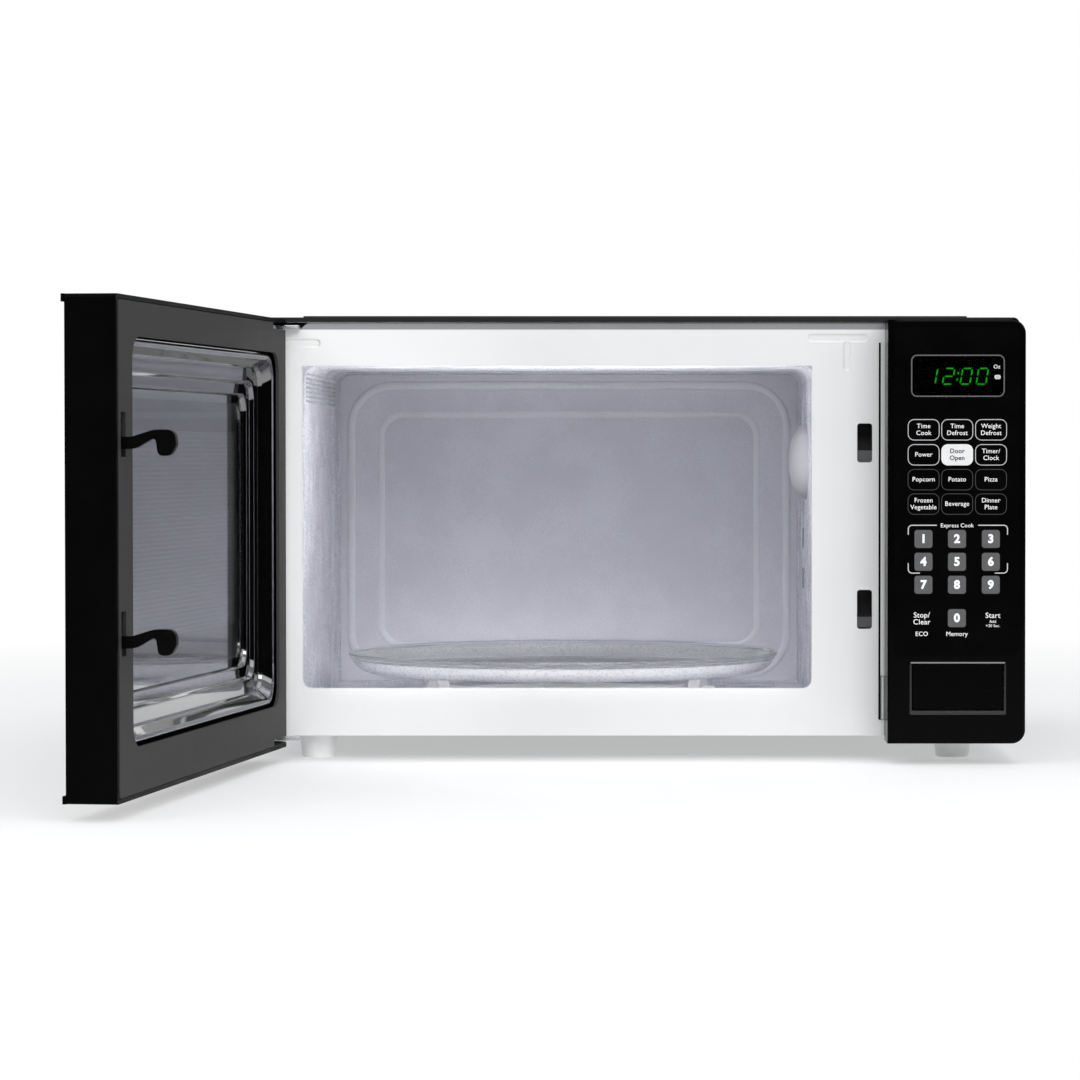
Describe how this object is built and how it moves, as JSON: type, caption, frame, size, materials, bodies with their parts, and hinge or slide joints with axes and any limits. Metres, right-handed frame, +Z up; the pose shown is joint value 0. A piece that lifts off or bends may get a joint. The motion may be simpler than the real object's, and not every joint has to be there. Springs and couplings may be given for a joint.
{
  "type": "microwave oven",
  "caption": "Countertop microwave oven: side-hinged door with a hook latch opened by a push button, keypad panel, and a glass turntable on a roller ring.",
  "frame": {"origin": "centre of the casing's footprint, on the plane that the four feet stand on", "axes": "+X along the front from the hinge side to the control panel, +Y from the front to the back, +Z up"},
  "size_m": [0.5719, 0.8243, 0.2962],
  "materials": {
    "black_enamel": "satin",
    "rear_steel": "satin",
    "white_enamel": "gloss",
    "cavity_enamel": "satin",
    "foot_plastic": "matt",
    "black_plastic": "satin",
    "cover_plastic": "matt",
    "hook_plastic": "satin",
    "button_plastic": "gloss",
    "overlay_film": "gloss",
    "display_lens": "gloss",
    "led_green": "gloss",
    "door_glass": "gloss",
    "clear_film": "gloss",
    "screen_steel": "satin",
    "black_steel": "gloss",
    "zinc_steel": "satin",
    "screw_steel": "satin",
    "spring_steel": "satin",
    "cover_mica": "satin",
    "tray_glass": "gloss",
    "ring_plastic": "satin",
    "coupler_plastic": "satin",
    "board_green": "satin",
    "switch_plastic": "satin",
    "fin_aluminium": "satin",
    "ferrite": "matt",
    "core_steel": "matt",
    "winding_copper": "gloss",
    "lamp_glass": "gloss",
    "fan_plastic": "satin"
  },
  "bodies": {
    "case": {"outer_wrapper": "black_enamel", "base_plate": "rear_steel", "motor_access_cover": "rear_steel", "feet": "foot_plastic", "rear_panel": "rear_steel", "cord_inlet_bushing": "black_plastic", "rear_spacers": "black_plastic", "front_frame": "white_enamel", "cavity_wrap": "cavity_enamel", "cavity_floor": "cavity_enamel", "cavity_back": "cavity_enamel", "waveguide": "zinc_steel", "waveguide_cover": "cover_mica", "turntable_motor": "zinc_steel", "latch_body": "black_plastic", "interlock_switches": "switch_plastic", "hinge_plate_upper": "zinc_steel", "hinge_plate_lower": "zinc_steel", "panel_housing": "black_plastic", "keypad_overlay": "overlay_film", "display_window": "display_lens", "led_display": "led_green", "control_board": "board_green", "button_spring": "spring_steel", "button_bracket": "zinc_steel", "magnetron_yoke": "zinc_steel", "magnetron_anode": "fin_aluminium", "magnetron_magnets": "ferrite", "magnetron_filter_box": "zinc_steel", "transformer_core": "core_steel", "transformer_windings": "winding_copper", "hv_capacitor": "fin_aluminium", "capacitor_clamp": "zinc_steel", "hv_diode": "switch_plastic", "mains_filter_board": "board_green", "thermal_cutouts": "switch_plastic", "lamp_holder": "switch_plastic", "cavity_lamp": "lamp_glass", "fan_shroud": "fan_plastic", "fan_motor": "core_steel", "casing_screws": "screw_steel"},
    "door": {"door_shell": "black_plastic", "door_window_pane": "door_glass", "door_steel_frame": "black_steel", "door_mesh_screen": "screen_steel", "door_inner_film": "clear_film", "door_choke_cover": "cover_plastic", "hinge_pins": "zinc_steel", "latch_spring": "spring_steel"},
    "hooks": {"latch_hooks": "hook_plastic"},
    "button": {"release_button": "button_plastic"},
    "lever": {"release_lever": "black_plastic"},
    "coupler": {"drive_coupler": "coupler_plastic"},
    "tray": {"glass_tray": "tray_glass"},
    "ring": {"roller_ring": "ring_plastic"},
    "roller_1": {"tray_roller_1": "ring_plastic"},
    "roller_2": {"tray_roller_2": "ring_plastic"},
    "roller_3": {"tray_roller_3": "ring_plastic"},
    "fan": {"fan_blade": "fan_plastic"}
  },
  "joints": [
    {"name": "door_hinge", "type": "hinge", "parent": "case", "child": "door", "pos_m": [-0.2445, -0.209, 0.15], "axis": [0, 0, 1], "range_deg": [0, 97.3]},
    {"name": "hook_lift", "type": "slide", "parent": "door", "child": "hooks", "axis": [0, 0, 1], "range_m": [0, 0.005], "stiffness_N_per_m": 150, "springref_m": -0.004, "deforming": ["latch_spring"]},
    {"name": "button_press", "type": "slide", "parent": "case", "child": "button", "axis": [0, 1, 0], "range_m": [0, 0.006], "stiffness_N_per_m": 350, "springref_m": -0.003, "deforming": ["button_spring"]},
    {"name": "lever_turn", "type": "hinge", "parent": "case", "child": "lever", "pos_m": [0.17, -0.184, 0.078], "axis": [1, 0, 0], "range_deg": [0, 17.3]},
    {"name": "turntable_spin", "type": "hinge", "parent": "case", "child": "coupler", "pos_m": [-0.0522, -0.016, 0.04], "axis": [0, 0, 1], "continuous": true},
    {"name": "tray_lift", "type": "slide", "parent": "coupler", "child": "tray", "axis": [0, 0, 1], "range_m": [0, 0.03]},
    {"name": "ring_spin", "type": "hinge", "parent": "case", "child": "ring", "pos_m": [-0.0522, -0.016, 0.0405], "axis": [0, 0, 1], "continuous": true},
    {"name": "roller_1_spin", "type": "hinge", "parent": "ring", "child": "roller_1", "pos_m": [0.04342, -0.05938, 0.0405], "axis": [0.9107, -0.4131, 0], "continuous": true},
    {"name": "roller_2_spin", "type": "hinge", "parent": "ring", "child": "roller_2", "pos_m": [-0.06245, 0.0885, 0.0405], "axis": [-0.0976, 0.9952, 0], "continuous": true},
    {"name": "roller_3_spin", "type": "hinge", "parent": "ring", "child": "roller_3", "pos_m": [-0.13758, -0.07712, 0.0405], "axis": [-0.8131, -0.5821, 0], "continuous": true},
    {"name": "fan_spin", "type": "hinge", "parent": "case", "child": "fan", "pos_m": [0.188, 0.14, 0.172], "axis": [0, 1, 0], "continuous": true}
  ],
  "couplings": [
    {"joint": "lever_turn", "follows": "button_press", "rad_per_m": 50},
    {"joint": "ring_spin", "follows": "turntable_spin", "ratio": 0.5},
    {"joint": "roller_1_spin", "follows": "turntable_spin", "ratio": -6.4024},
    {"joint": "roller_2_spin", "follows": "turntable_spin", "ratio": -6.4024},
    {"joint": "roller_3_spin", "follows": "turntable_spin", "ratio": -6.4024}
  ]
}
